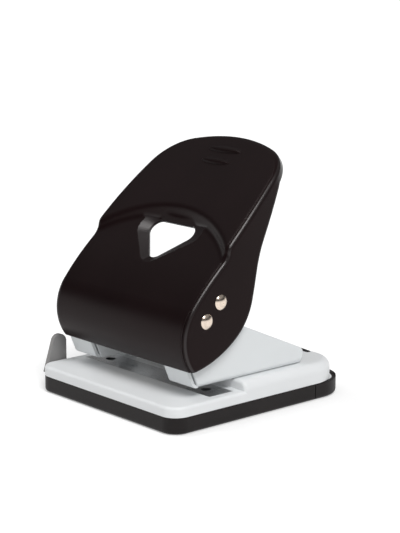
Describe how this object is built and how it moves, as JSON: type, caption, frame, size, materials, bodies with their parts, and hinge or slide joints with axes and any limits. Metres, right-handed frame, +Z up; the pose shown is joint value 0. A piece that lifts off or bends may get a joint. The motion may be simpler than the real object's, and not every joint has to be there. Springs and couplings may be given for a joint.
{
  "type": "two-hole office punch",
  "caption": "Heavy two-hole paper punch: a pressed lever on a steel frame drives two sprung punches through a rounded base with a side guide.",
  "frame": {"origin": "on the desk plane, under the middle of the base: midway between its left and right sides and midway between the front edge and the rear lip", "axes": "+X to the right of someone facing the paper slot, +Y from the paper slot towards the rear, +Z up"},
  "size_m": [0.1184, 0.127, 0.1369],
  "materials": {
    "housing_paint": "satin light grey paint",
    "tray_plastic": "fine matt black",
    "ground_steel": "ground",
    "screw_steel": "zinc",
    "frame_paint": "smooth light grey",
    "bright_nickel": "nickel plated",
    "pad_rubber": "matt black",
    "stop_plastic": "matt mid grey",
    "lever_paint": "satin black paint",
    "washer_plastic": "natural nylon",
    "bush_steel": "turned",
    "punch_steel": "hardened and turned",
    "spring_steel": "drawn wire"
  },
  "bodies": {
    "base": {"base_housing": "housing_paint", "chip_tray": "tray_plastic", "die_plate": "ground_steel", "die_screws": "screw_steel", "punch_frame": "frame_paint", "frame_rivets": "bright_nickel", "rest_pad": "pad_rubber", "guide_strap": "ground_steel", "left_guide_bush": "bush_steel", "right_guide_bush": "bush_steel", "hinge_washers": "washer_plastic", "left_spring": "spring_steel", "right_spring": "spring_steel"},
    "lever": {"lever_shell": "lever_paint", "hinge_axle": "bright_nickel", "press_axle": "bright_nickel"},
    "left_punch": {"left_punch": "punch_steel", "left_spring_seat": "screw_steel"},
    "right_punch": {"right_punch": "punch_steel", "right_spring_seat": "screw_steel"},
    "paper_guide": {"guide_bar": "ground_steel", "guide_stop": "stop_plastic"},
    "chip_flap": {"chip_flap": "tray_plastic"}
  },
  "joints": [
    {"name": "lever_hinge", "type": "hinge", "parent": "base", "child": "lever", "pos_m": [0, -0.0387, 0.0548], "axis": [-1, 0, 0], "range_deg": [0, 50], "stiffness_Nm_per_rad": 0.75, "springref_deg": -28.65},
    {"name": "left_punch_slide", "type": "slide", "parent": "base", "child": "left_punch", "axis": [0, 0, -1], "range_m": [0, 0.01037], "deforming": ["left_spring"]},
    {"name": "right_punch_slide", "type": "slide", "parent": "base", "child": "right_punch", "axis": [0, 0, -1], "range_m": [0, 0.01037], "deforming": ["right_spring"]},
    {"name": "guide_slide", "type": "slide", "parent": "base", "child": "paper_guide", "axis": [-1, 0, 0], "range_m": [0, 0.091]},
    {"name": "flap_hinge", "type": "hinge", "parent": "base", "child": "chip_flap", "pos_m": [0, 0.0361, 0], "axis": [-1, 0, 0], "range_deg": [0, 75]}
  ],
  "couplings": [
    {"joint": "left_punch_slide", "follows": "lever_hinge", "m_per_rad": 0.01186},
    {"joint": "right_punch_slide", "follows": "lever_hinge", "m_per_rad": 0.01186}
  ]
}
